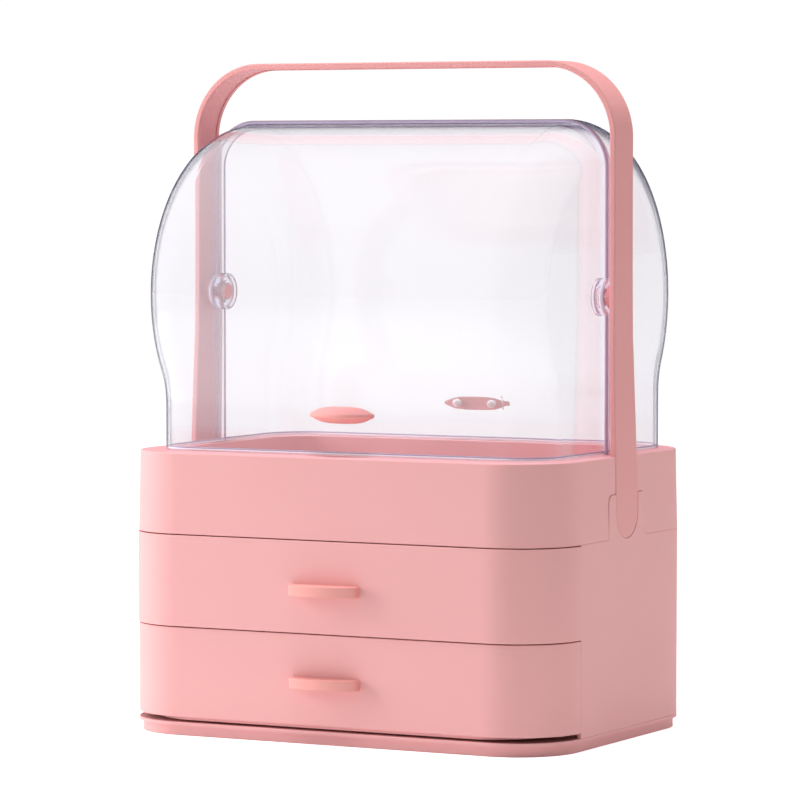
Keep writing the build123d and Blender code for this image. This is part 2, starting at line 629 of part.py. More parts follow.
def make_knob(name: str, facing: int) -> Part:
    """Segment of a lens-shaped disc that lies on the outside of a door's skirt."""
    inset = NEST_STEP if facing < 0 else 0
    skirt = FRONT_SKIRT if facing < 0 else REAR_SKIRT
    seat = dome_form(inset, skirt)
    disc_radius = ((KNOB_WIDTH / 2) ** 2 + KNOB_DEPTH ** 2) / (2 * KNOB_DEPTH)
    disc_sink = disc_radius - KNOB_DEPTH
    rim_half = KNOB_RIM / 2
    rim_start = disc_radius - rim_half
    rise = (KNOB_HEIGHT - KNOB_RIM) / 2
    crown_radius = ((rim_start - disc_sink) ** 2 + rise ** 2) / (2 * rise)
    crown_centre = KNOB_HEIGHT / 2 - crown_radius
    middle = (rim_start + disc_sink) / 2
    middle_height = crown_centre + sqrt(crown_radius ** 2 - (middle - disc_sink) ** 2)
    centre = (0, facing * (skirt - disc_sink), RIM + KNOB_RISE)
    section = Plane(origin=centre, x_dir=(0, facing, 0), z_dir=(facing, 0, 0))
    screw_face = Plane(origin=(0, facing * skirt, RIM + KNOB_RISE), x_dir=(1, 0, 0),
                       z_dir=(0, facing, 0))
    with BuildPart() as knob:
        with BuildSketch(section):
            with BuildLine():
                Line((0, -KNOB_HEIGHT / 2), (0, KNOB_HEIGHT / 2))
                Line((0, KNOB_HEIGHT / 2), (disc_sink, KNOB_HEIGHT / 2))
                ThreePointArc((disc_sink, KNOB_HEIGHT / 2), (middle, middle_height),
                              (rim_start, rim_half))
                ThreePointArc((rim_start, rim_half), (disc_radius, 0), (rim_start, -rim_half))
                ThreePointArc((rim_start, -rim_half), (middle, -middle_height),
                              (disc_sink, -KNOB_HEIGHT / 2))
                Line((disc_sink, -KNOB_HEIGHT / 2), (0, -KNOB_HEIGHT / 2))
            make_face()
        revolve(axis=Axis(centre, (0, 0, 1)))
        add(seat, mode=Mode.SUBTRACT)
        with BuildSketch(screw_face):
            with Locations(*mirrored_pair(KNOB_SCREW_SPACING / 2, 0)):
                Circle(SCREW_RADIUS + THREAD_FIT)
        extrude(amount=KNOB_SCREW_REACH + EDGE_BREAK, mode=Mode.SUBTRACT)
    knob.part.label = name
    return knob.part


def make_knob_screws(name: str, facing: int) -> Part:
    """The two screws that hold a knob, driven from inside the door."""
    skirt = FRONT_SKIRT if facing < 0 else REAR_SKIRT
    inside = Plane(origin=(0, facing * (skirt - DOOR_WALL), RIM + KNOB_RISE), x_dir=(1, 0, 0),
                   z_dir=(0, -facing, 0))
    places = mirrored_pair(KNOB_SCREW_SPACING / 2, 0)
    screws = screws_along(inside, places, DOOR_WALL, KNOB_SCREW_REACH)
    screws.label = name
    return screws


def make_pivot_pin(name: str, side: int) -> Part:
    """Push-in pin: its head lies in the front door's boss and its tip in the handle arm."""
    head_face = DOME_HALF_LENGTH - NEST_STEP - DOOR_WALL - BOSS_LENGTH
    tip = HALF_WIDTH - arm_lean(PIVOT) - PIN_SKIN
    start = Plane(origin=(side * head_face, 0, PIVOT), z_dir=(side, 0, 0))
    with BuildPart() as pin:
        with BuildSketch(start):
            Circle(PIN_HEAD_RADIUS)
        extrude(amount=PIN_HEAD_LENGTH)
        fillet(pin.edges().sort_by(Axis.X)[0 if side > 0 else -1], PIN_HEAD_LENGTH / 2)
        with BuildSketch(start):
            Circle(PIN_RADIUS)
        extrude(amount=tip - head_face)
    pin.part.label = name
    return pin.part


# ---------------------------------------------------------------- drawers


def make_drawer_front(name: str, span: tuple, proud: float) -> Part:
    """Front panel that wraps round both corners and ends flush with the cabinet's sides."""
    screw_z = (span[0] + span[1]) / 2 - PULL_DROP
    with BuildPart() as front:
        with BuildSketch(Plane.XY.offset(span[0])):
            case_outline(-proud)
        extrude(amount=span[1] - span[0])
        fillet(front.edges().group_by(Axis.Z)[0], EDGE_BREAK)
        fillet(front.edges().group_by(Axis.Z)[-1], EDGE_BREAK)
        with BuildSketch(Plane.XY.offset(span[0])):
            case_outline(WALL)
        extrude(amount=span[1] - span[0], mode=Mode.SUBTRACT)
        with BuildSketch(Plane.XY.offset(span[0])):
            strip(FRONT_END - FRONT_SIDE_GAP, FAR, Mode.ADD)
        extrude(amount=span[1] - span[0], mode=Mode.SUBTRACT)
        with BuildSketch(Plane.XZ.offset(HALF_DEPTH + proud)):
            with Locations(*mirrored_pair(PULL_SCREW_SPACING / 2, screw_z)):
                Circle(SCREW_RADIUS + SCREW_FIT)
        extrude(amount=-(WALL + proud), mode=Mode.SUBTRACT)
    front.part.label = name
    return front.part


def make_drawer_tub(name: str, bottom: float, screw_z: float) -> Part:
    """Open drawer box with large front corners that clear the wrap-round front."""
    width = 2 * TUB_HALF_WIDTH
    length = TUB_REAR - TUB_FRONT
    middle = (TUB_REAR + TUB_FRONT) / 2
    with BuildPart() as tub:
        with BuildSketch(Plane.XY.offset(bottom)):
            add(tub_outline(0))
        extrude(amount=TUB_HEIGHT)
        with BuildSketch(Plane.XY.offset(bottom + TUB_FLOOR)):
            add(tub_outline(TUB_WALL))
        extrude(amount=TUB_HEIGHT - TUB_FLOOR, mode=Mode.SUBTRACT)
        floor_edges = tub.edges().filter_by(
            lambda edge: abs(edge.center().Z - bottom - TUB_FLOOR) < TINY)
        fillet(floor_edges, TUB_INNER_FILLET)
        chamfer(tub.edges().group_by(Axis.Z)[-1], EDGE_BREAK)
        with BuildSketch(Plane.XZ.offset(-TUB_FRONT)):
            with Locations(*mirrored_pair(PULL_SCREW_SPACING / 2, screw_z)):
                Circle(SCREW_RADIUS + SCREW_FIT)
        extrude(amount=-TUB_WALL, mode=Mode.SUBTRACT)
    tub.part.label = name
    return tub.part


def tub_outline(inset: float) -> Sketch:
    """Plan of the drawer tub, drawn `inset` inside its outer face."""
    half = TUB_HALF_WIDTH - inset
    front = TUB_FRONT + inset
    rear = TUB_REAR - inset
    with BuildSketch() as outline:
        with BuildLine():
            FilletPolyline(
                (0, front), (half, front), (half, rear), (0, rear),
                radius=(TUB_FRONT_RADIUS - inset, TUB_REAR_RADIUS - inset),
            )
            mirror(about=Plane.YZ)
        make_face()
    return outline.sketch


def make_pull(name: str, middle: float, proud: float) -> Part:
    """Bowed ledge pull, hollow underneath for the fingertips, with two screw bosses."""
    face_y = -HALF_DEPTH - proud
    pocket = PULL_HEIGHT - PULL_WALL
    plan = Plane.XY.offset(middle - PULL_HEIGHT / 2)
    with BuildPart() as pull:
        with BuildSketch(plan):
            with Locations((0, face_y)):
                add(pull_plan())
        extrude(amount=PULL_HEIGHT)
        top_edges = pull.edges().group_by(Axis.Z)[-1]
        fillet(top_edges.filter_by(lambda edge: edge.center().Y < face_y - TINY), EDGE_BREAK)
        with BuildSketch(plan):
            with Locations((0, face_y)):
                add(pull_plan())
            offset(amount=-PULL_WALL)
        extrude(amount=pocket, mode=Mode.SUBTRACT)
        back = Plane.XZ.offset(-face_y)
        with BuildSketch(back):
            with Locations(*mirrored_pair(PULL_SCREW_SPACING / 2, middle)):
                Circle(PULL_BOSS_RADIUS)
            with Locations((0, middle)):
                Rectangle(PULL_WIDTH, PULL_HEIGHT, mode=Mode.INTERSECT)
        extrude(amount=PULL_DEPTH / 2 + PULL_WALL)
        with BuildSketch(back):
            with Locations(*mirrored_pair(PULL_SCREW_SPACING / 2, middle)):
                Circle(SCREW_RADIUS + THREAD_FIT)
        extrude(amount=PULL_DEPTH / 2 + PULL_WALL / 2, mode=Mode.SUBTRACT)
    pull.part.label = name
    return pull.part


def make_pull_screws(name: str, middle: float) -> Part:
    """The two screws that clamp tub, front and pull together."""
    inside = Plane(origin=(0, TUB_FRONT + TUB_WALL, middle), x_dir=(1, 0, 0), z_dir=(0, 1, 0))
    places = mirrored_pair(PULL_SCREW_SPACING / 2, 0)
    screws = screws_along(inside, places, TUB_WALL + WALL, PULL_DEPTH / 2)
    screws.label = name
    return screws


# ---------------------------------------------------------------- fasteners of the carcass


def make_base_screws() -> Part:
    """Four screws up through the base slab into the shell's columns."""
    under = Plane(origin=(0, 0, PLINTH_HEIGHT), x_dir=(1, 0, 0), z_dir=(0, 0, -1))
    places = [(x, -y) for x, y in COLUMN_PLACES]
    screws = screws_along(under, places, BASE_SLAB, SCREW_REACH)
    screws.label = "base_screws"
    return screws


def make_tray_screws() -> Part:
    """Four screws up through the shell's lugs into the tray's bosses."""
    under = Plane(origin=(0, 0, TRAY_SEAM - LUG_DROP - LUG_THICKNESS), x_dir=(1, 0, 0),
                  z_dir=(0, 0, -1))
    places = [(x, -y) for x, y in TRAY_BOSS_PLACES]
    screws = screws_along(under, places, LUG_THICKNESS, SCREW_REACH)
    screws.label = "tray_screws"
    return screws


def make_handle_screws() -> Part:
    """Two screws a side, from inside the tabs into the handle's pegs."""
    with BuildPart() as handle_screws:
        for side in (1, -1):
            inside = Plane(origin=(side * (ARM_INNER - PEG_LENGTH), 0, 0), x_dir=(0, 1, 0),
                           z_dir=(-side, 0, 0))
            places = [(0, -side * (TRAY_SEAM + rise)) for rise in PEG_RISES]
            add(screws_along(inside, places, 0, PEG_SCREW_REACH))
    handle_screws.part.label = "handle_screws"
    return handle_screws.part


# ---------------------------------------------------------------- the whole case


LOWER_PULL = (LOWER_FRONT[0] + LOWER_FRONT[1]) / 2 - PULL_DROP
UPPER_PULL = (UPPER_FRONT[0] + UPPER_FRONT[1]) / 2 - PULL_DROP


def make_pieces() -> list:
    """Every piece of the case, in its place."""
    return [
        make_base_plate(),
        make_cabinet_shell(),
        make_mid_shelf(),
        make_top_tray(),
        make_handle(),
        make_base_screws(),
        make_tray_screws(),
        make_handle_screws(),
        make_pivot_pin("left_pivot_pin", -1),
        make_pivot_pin("right_pivot_pin", 1),
        make_front_door(),
        make_knob("front_door_knob", -1),
        make_knob_screws("front_knob_screws", -1),
        make_rear_door(),
        make_knob("rear_door_knob", 1),
        make_knob_screws("rear_knob_screws", 1),
        make_drawer_tub("upper_drawer_tub", UPPER_TUB_FLOOR, UPPER_PULL),
        make_drawer_front("upper_drawer_front", UPPER_FRONT, UPPER_FRONT_PROUD),
        make_pull("upper_drawer_pull", UPPER_PULL, UPPER_FRONT_PROUD),
        make_pull_screws("upper_pull_screws", UPPER_PULL),
        make_drawer_tub("lower_drawer_tub", LOWER_TUB_FLOOR, LOWER_PULL),
        make_drawer_front("lower_drawer_front", LOWER_FRONT, 0),
        make_pull("lower_drawer_pull", LOWER_PULL, 0),
        make_pull_screws("lower_pull_screws", LOWER_PULL),
    ]


os.makedirs("parts", exist_ok=True)
for piece in make_pieces():
    export_step(piece, f"parts/{piece.label}.step")
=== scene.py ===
"""Looks of the makeup storage case: satin pink mouldings, clear dome doors and a soft studio.

Every piece is in metres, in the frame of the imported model: +Z up, the drawers open towards -Y, and
the origin is the middle of the footprint, on the surface that the case stands on.
"""
import logging
import math
from dataclasses import dataclass, field
from enum import Enum

import bmesh
import bpy
from mathutils import Euler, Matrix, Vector


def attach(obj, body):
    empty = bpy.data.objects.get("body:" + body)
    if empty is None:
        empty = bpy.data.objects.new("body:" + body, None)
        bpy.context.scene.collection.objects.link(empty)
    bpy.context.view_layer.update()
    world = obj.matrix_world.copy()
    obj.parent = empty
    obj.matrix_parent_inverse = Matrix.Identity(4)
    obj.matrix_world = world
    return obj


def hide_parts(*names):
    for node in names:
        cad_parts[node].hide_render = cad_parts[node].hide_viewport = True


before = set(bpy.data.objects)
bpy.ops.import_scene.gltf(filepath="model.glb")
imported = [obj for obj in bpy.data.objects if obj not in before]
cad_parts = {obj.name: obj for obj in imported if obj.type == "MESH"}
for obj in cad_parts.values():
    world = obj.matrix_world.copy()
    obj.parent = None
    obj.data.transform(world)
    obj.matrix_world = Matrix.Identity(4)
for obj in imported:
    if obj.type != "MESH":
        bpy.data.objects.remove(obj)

LOG = logging.getLogger("makeup_case")
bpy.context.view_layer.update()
MM = 0.001
WHITE = (1.0, 1.0, 1.0, 1.0)
PIVOT_MM = 252.0        # height of the axis that both doors swing on
CREASE_DEGREES = 40.0   # an edge bent further than this stays crisp
WELD_DISTANCE = 1e-6    # metres, for a CAD node's loose triangles
RIM_SHARE = 0.8         # of a screw head's radius, which only the head reaches past


class Side(Enum):
    """Which side of the dome a door covers, as the sign of Y."""

    FRONT = -1
    REAR = 1


class Drive(Enum):
    """Recess in a screw's head, as its number of slots."""

    SLOTTED = 1
    CROSS = 2


# ---------------------------------------------------------------- colours and nodes


def srgb_to_linear(code: str) -> tuple[float, float, float, float]:
    """Turns an sRGB hex colour into the linear colour that shaders take.

    Args:
        code: Six hex digits, such as "F0B4B4".

    Returns:
        Linear red, green, blue and an alpha of 1.
    """
    channels = [int(code[i:i + 2], 16) / 255 for i in (0, 2, 4)]
    linear = [c / 12.92 if c <= 0.04045 else ((c + 0.055) / 1.055) ** 2.4 for c in channels]
    return (linear[0], linear[1], linear[2], 1.0)


def add_node(tree: bpy.types.NodeTree, kind: str, values: dict | None = None,
             links: dict | None = None, **settings: object) -> bpy.types.Node:
    """Adds one node to a tree, sets it up and links its inputs.

    Args:
        tree: Shader or geometry tree that gets the node.
        kind: The node's bl_idname.
        values: Input socket name or number to constant value.
        links: Input socket name or number to the output socket that feeds it.
        **settings: The node's own properties.

    Returns:
        The new node.
    """
    node = tree.nodes.new(kind)
    for name, value in settings.items():
        setattr(node, name, value)
    for socket, value in (values or {}).items():
        node.inputs[socket].default_value = value
    for socket, source in (links or {}).items():
        tree.links.new(source, node.inputs[socket])
    return node


def empty_material(name: str) -> tuple[bpy.types.Material, bpy.types.NodeTree, bpy.types.NodeSocket]:
    """Starts a node material whose patterns lie on Object coordinates.

    Args:
        name: The material's name.

    Returns:
        The material, its cleared tree and the Object coordinates.
    """
    material = bpy.data.materials.new(name)
    material.use_nodes = True
    tree = material.node_tree
    tree.nodes.clear()
    return material, tree, add_node(tree, "ShaderNodeTexCoord").outputs["Object"]


# ---------------------------------------------------------------- finishes


@dataclass(frozen=True)
class MouldedPlastic:
    """Injection-moulded ABS, coloured through.

    The mould's fine texture breaks a highlight into a soft satin sheen, and the flow of the melt
    leaves a tint and a sheen that drift slowly over a panel.
    """

    name: str
    colour: str
    shade: str
    roughness: float = 0.56
    grain_mm: float = 0.45
    grain_depth_mm: float = 0.012
    grain_strength: float = 0.4
    grain_detail: float = 2.0
    flow_mm: float = 80.0
    flow_detail: float = 3.0
    sheen_drift: float = 0.04
    ior: float = 1.53

    def build(self) -> bpy.types.Material:
        """Builds the node material.

        Returns:
            The material.
        """
        material, tree, place = empty_material(self.name)
        flow = add_node(tree, "ShaderNodeTexNoise",
                        {"Scale": 1 / (self.flow_mm * MM), "Detail": self.flow_detail},
                        {"Vector": place})
        tint = add_node(tree, "ShaderNodeMix",
                        {"A": srgb_to_linear(self.colour), "B": srgb_to_linear(self.shade)},
                        {"Factor": flow.outputs["Fac"]}, data_type="RGBA")
        grain = add_node(tree, "ShaderNodeTexNoise",
                         {"Scale": 1 / (self.grain_mm * MM), "Detail": self.grain_detail},
                         {"Vector": place})
        sheen = add_node(tree, "ShaderNodeMapRange",
                         {"To Min": self.roughness - self.sheen_drift,
                          "To Max": self.roughness + self.sheen_drift}, {"Value": flow.outputs["Fac"]})
        bump = add_node(tree, "ShaderNodeBump",
                        {"Strength": self.grain_strength, "Distance": self.grain_depth_mm * MM},
                        {"Height": grain.outputs["Fac"]})
        shader = add_node(tree, "ShaderNodeBsdfPrincipled", {"IOR": self.ior},
                          {"Base Color": tint.outputs["Result"], "Roughness": sheen.outputs["Result"],
                           "Normal": bump.outputs["Normal"]})
        add_node(tree, "ShaderNodeOutputMaterial", links={"Surface": shader.outputs["BSDF"]})
        return material


@dataclass(frozen=True)
class ClearPlastic:
    """Injection-moulded clear polystyrene.

    Face on it is glassy and all but colourless. Where the sheet is seen edge on, its colour is darkened
    to grey-violet as a painted shade, so each outline is a thin grey-violet line.

    A band is the pair of slants, from 0 face on to 1 edge on, between which that painted shade comes
    in. It goes from the barrel's band to the rolled one between two distances from the dome's middle
    plane, where the sheet rolls over into its end walls.
    """

    name: str
    colour: str
    edge_shade_colour: str
    absorption: tuple[float, float, float, float]
    density_per_m: float
    roughness: float = 0.015
    clarity: float = 0.935
    ior: float = 1.45
    ripple_mm: float = 60.0
    ripple_depth_mm: float = 0.04
    ripple_strength: float = 0.2
    ripple_detail: float = 1.0
    roll_start_mm: float = 101.0
    roll_end_mm: float = 108.0
    barrel_shade_band: tuple[float, float] = (0.78, 0.94)
    rolled_shade_band: tuple[float, float] = (0.60, 0.82)
    facing_blend: float = 0.5
    lamp_tint: str = "FDFDFE"

    def build(self) -> bpy.types.Material:
        """Builds the node material.

        Returns:
            The material. Shadow and diffuse rays pass straight through, so the tray inside is lit.
        """
        material, tree, place = empty_material(self.name)
        ripple = add_node(tree, "ShaderNodeTexNoise",
                          {"Scale": 1 / (self.ripple_mm * MM), "Detail": self.ripple_detail},
                          {"Vector": place})
        bump = add_node(tree, "ShaderNodeBump",
                        {"Strength": self.ripple_strength, "Distance": self.ripple_depth_mm * MM},
                        {"Height": ripple.outputs["Fac"]})
        axes = add_node(tree, "ShaderNodeSeparateXYZ", links={0: place})
        along = add_node(tree, "ShaderNodeMath", links={0: axes.outputs["X"]}, operation="ABSOLUTE")
        start, end = (add_node(tree, "ShaderNodeMapRange",
                               {"From Min": self.roll_start_mm * MM, "From Max": self.roll_end_mm * MM,
                                "To Min": barrel, "To Max": rolled}, {"Value": along.outputs[0]})
                      for barrel, rolled in zip(self.barrel_shade_band, self.rolled_shade_band))
        # Painted shade: the base colour darkens towards the grey-violet edge colour as the sheet turns
        # edge on.
        grazing = add_node(tree, "ShaderNodeLayerWeight", {"Blend": self.facing_blend})
        edge = add_node(tree, "ShaderNodeMapRange",
                        links={"Value": grazing.outputs["Facing"], "From Min": start.outputs["Result"],
                               "From Max": end.outputs["Result"]}, interpolation_type="SMOOTHSTEP")
        tint = add_node(tree, "ShaderNodeMix",
                        {"A": srgb_to_linear(self.colour), "B": srgb_to_linear(self.edge_shade_colour)},
                        {"Factor": edge.outputs["Result"]}, data_type="RGBA")
        clear = add_node(tree, "ShaderNodeBsdfPrincipled",
                         {"Roughness": self.roughness, "IOR": self.ior,
                          "Transmission Weight": self.clarity},
                         {"Base Color": tint.outputs["Result"], "Normal": bump.outputs["Normal"]})
        passing = add_node(tree, "ShaderNodeBsdfTransparent", {"Color": srgb_to_linear(self.lamp_tint)})
        ray = add_node(tree, "ShaderNodeLightPath")
        either = add_node(tree, "ShaderNodeMath", links={0: ray.outputs["Is Shadow Ray"],
                                                         1: ray.outputs["Is Diffuse Ray"]},
                          operation="MAXIMUM")
        mixed = add_node(tree, "ShaderNodeMixShader",
                         links={0: either.outputs[0], 1: clear.outputs["BSDF"], 2: passing.outputs[0]})
        inside = add_node(tree, "ShaderNodeVolumeAbsorption",
                          {"Color": self.absorption, "Density": self.density_per_m})
        add_node(tree, "ShaderNodeOutputMaterial",
                 links={"Surface": mixed.outputs[0], "Volume": inside.outputs["Volume"]})
        return material


@dataclass(frozen=True)
class ClearEdge:
    """Rounded rim of the clear sheet, seen edge on.

    Light that runs along inside the sheet comes out here, so the rim is a soft violet-grey line
    rather than glassy. It is paler within `boss_mm` of the doors' axis, a painted highlight round the
    pivot bosses.
    """

    name: str
    colour: str
    shade: str
    roughness: float = 0.22
    streak_mm: float = 9.0
    boss_highlight_colour: str = "E4E0EA"
    boss_mm: float = 9.5
    boss_fade_mm: float = 3.0
    ior: float = 1.5

    def build(self) -> bpy.types.Material:
        """Builds the node material.

        Returns:
            The material.
        """
        material, tree, place = empty_material(self.name)
        streak = add_node(tree, "ShaderNodeTexNoise", {"Scale": 1 / (self.streak_mm * MM)},
                          {"Vector": place})
        tint = add_node(tree, "ShaderNodeMix",
                        {"A": srgb_to_linear(self.colour), "B": srgb_to_linear(self.shade)},
                        {"Factor": streak.outputs["Fac"]}, data_type="RGBA")
        off_axis = add_node(tree, "ShaderNodeVectorMath", {1: (0.0, 1.0, 1.0)}, {0: place},
                            operation="MULTIPLY")
        reach = add_node(tree, "ShaderNodeVectorMath", {1: (0.0, 0.0, PIVOT_MM * MM)},
                         {0: off_axis.outputs["Vector"]}, operation="DISTANCE")
        # Painted highlight: near the pivot bosses the rim turns to the pale boss colour.
        far = add_node(tree, "ShaderNodeMapRange",
                       {"From Min": self.boss_mm * MM,
                        "From Max": (self.boss_mm + self.boss_fade_mm) * MM},
                       {"Value": reach.outputs["Value"]}, interpolation_type="SMOOTHSTEP")
        drawn = add_node(tree, "ShaderNodeMix", {"A": srgb_to_linear(self.boss_highlight_colour)},
                         {"Factor": far.outputs["Result"], "B": tint.outputs["Result"]},
                         data_type="RGBA")
        shader = add_node(tree, "ShaderNodeBsdfPrincipled",
                          {"Roughness": self.roughness, "IOR": self.ior},
                          {"Base Color": drawn.outputs["Result"]})
        add_node(tree, "ShaderNodeOutputMaterial", links={"Surface": shader.outputs["BSDF"]})
        return material


@dataclass(frozen=True)
class ZincSteel:
    """Zinc-plated steel of a small self-tapping screw: cool grey, softly bright, faintly mottled."""

    name: str
    colour: str = "B9BABD"
    shade: str = "9FA2A8"
    roughness: float = 0.32
    smoother: float = 0.06
    rougher: float = 0.08
    crystal_mm: float = 0.4

    def build(self) -> bpy.types.Material:
        """Builds the node material.

        Returns:
            The material.
        """
        material, tree, place = empty_material(self.name)
        crystal = add_node(tree, "ShaderNodeTexVoronoi", {"Scale": 1 / (self.crystal_mm * MM)},
                           {"Vector": place})
        tint = add_node(tree, "ShaderNodeMix",
                        {"A": srgb_to_linear(self.colour), "B": srgb_to_linear(self.shade)},
                        {"Factor": crystal.outputs["Distance"]}, data_type="RGBA")
        rough = add_node(tree, "ShaderNodeMapRange",
                         {"To Min": self.roughness - self.smoother,
                          "To Max": self.roughness + self.rougher},
                         {"Value": crystal.outputs["Distance"]})
        shader = add_node(tree, "ShaderNodeBsdfPrincipled", {"Metallic": 1.0},
                          {"Base Color": tint.outputs["Result"], "Roughness": rough.outputs["Result"]})
        add_node(tree, "ShaderNodeOutputMaterial", links={"Surface": shader.outputs["BSDF"]})
        return material


@dataclass(frozen=True)
class WhitePaper:
    """Matt white paper floor that burns out to white before the camera and keeps a faint shadow."""

    name: str
    backdrop: float
    colour: str = "F4F2F2"
    shade: str = "F8F7F7"
    fibre_mm: float = 2.0
    glow: float = 0.70

    def build(self) -> bpy.types.Material:
        """Builds the node material.

        Returns:
            The material. Its glow is seen by the camera only and lights nothing. Through clear
            plastic the floor is plain white, as the world is. Reflections show the paper as it is lit.
        """
        material, tree, place = empty_material(self.name)
        fibre = add_node(tree, "ShaderNodeTexNoise", {"Scale": 1 / (self.fibre_mm * MM)},
                         {"Vector": place})
        tint = add_node(tree, "ShaderNodeMix",
                        {"A": srgb_to_linear(self.colour), "B": srgb_to_linear(self.shade)},
                        {"Factor": fibre.outputs["Fac"]}, data_type="RGBA")
        paper = add_node(tree, "ShaderNodeBsdfDiffuse", links={"Color": tint.outputs["Result"]})
        glow = add_node(tree, "ShaderNodeEmission", {"Color": WHITE, "Strength": self.glow})
        both = add_node(tree, "ShaderNodeAddShader", links={0: paper.outputs[0], 1: glow.outputs[0]})
        white = add_node(tree, "ShaderNodeEmission", {"Color": WHITE, "Strength": self.backdrop})
        ray = add_node(tree, "ShaderNodeLightPath")
        seen = add_node(tree, "ShaderNodeMixShader", links={0: ray.outputs["Is Camera Ray"],
                                                            1: paper.outputs[0], 2: both.outputs[0]})
        choice = add_node(tree, "ShaderNodeMixShader", links={0: ray.outputs["Is Transmission Ray"],
                                                              1: seen.outputs[0], 2: white.outputs[0]})
        add_node(tree, "ShaderNodeOutputMaterial", links={"Surface": choice.outputs[0]})
        return material


@dataclass
class Finishes:
    """The case's materials, built once and shared by its pieces."""

    case: bpy.types.Material = field(
        default_factory=lambda: MouldedPlastic("moulded_abs_case", "EAAEAE", "E8A9A9").build())
    drawer: bpy.types.Material = field(
        default_factory=lambda: MouldedPlastic("moulded_abs_drawer", "EAAEAD", "E8AAA9").build())
    handle: bpy.types.Material = field(
        default_factory=lambda: MouldedPlastic("moulded_abs_handle", "E8A3A2", "E59F9D",
                                               roughness=0.5).build())
    grip: bpy.types.Material = field(
        default_factory=lambda: MouldedPlastic("moulded_abs_grip", "EBA49D", "E9A099",
                                               roughness=0.5).build())
    tub: bpy.types.Material = field(
        default_factory=lambda: MouldedPlastic("moulded_abs_tub", "EBADAC", "E9A9A8",
                                               roughness=0.5).build())
    # The dome's dark grey-violet edge colour is painted shade for its outlines.
    clear: bpy.types.Material = field(
        default_factory=lambda: ClearPlastic("clear_polystyrene_dome", "FFFFFF", "4A475F",
                                             absorption=(0.3, 0.2, 0.72, 1.0),
                                             density_per_m=18.0).build())
    edge: bpy.types.Material = field(
        default_factory=lambda: ClearEdge("clear_polystyrene_rim", "C3B9CE", "B4AAC2").build())
    # The foot's near-white bead is a painted highlight along the door's foot.
    foot: bpy.types.Material = field(
        default_factory=lambda: ClearEdge("clear_polystyrene_foot_highlight", "FBF9FC", "F4F1F6").build())
    steel: bpy.types.Material = field(
        default_factory=lambda: ZincSteel("zinc_plated_screw").build())


# ---------------------------------------------------------------- studio


@dataclass
class SoftBox:
    """One rectangular studio lamp, with angles in degrees and lengths in metres.

    Azimuth is counted from -Y towards +X. The lamp lights the case, but its own shape isn't seen in
    reflections or through clear plastic.
    """

    name: str
    azimuth: float
    elevation: float
    distance: float
    width: float
    height: float
    watts: float

    def build(self, aim: Vector) -> bpy.types.Object:
        """Makes the lamp.

        Args:
            aim: Point that the lamp faces.

        Returns:
            The lamp object.
        """
        azimuth, elevation = math.radians(self.azimuth), math.radians(self.elevation)
        away = Vector((math.sin(azimuth) * math.cos(elevation),
                       -math.cos(azimuth) * math.cos(elevation), math.sin(elevation)))
        data = bpy.data.lights.new(self.name, "AREA")
        data.shape = "RECTANGLE"
        data.size = self.width
        data.size_y = self.height
        data.energy = self.watts
        lamp = bpy.data.objects.new(self.name, data)
        lamp.location = aim + away * self.distance
        lamp.rotation_euler = (-away).to_track_quat("-Z", "Y").to_euler()
        lamp.visible_glossy = lamp.visible_transmission = False
        bpy.context.scene.collection.objects.link(lamp)
        return lamp


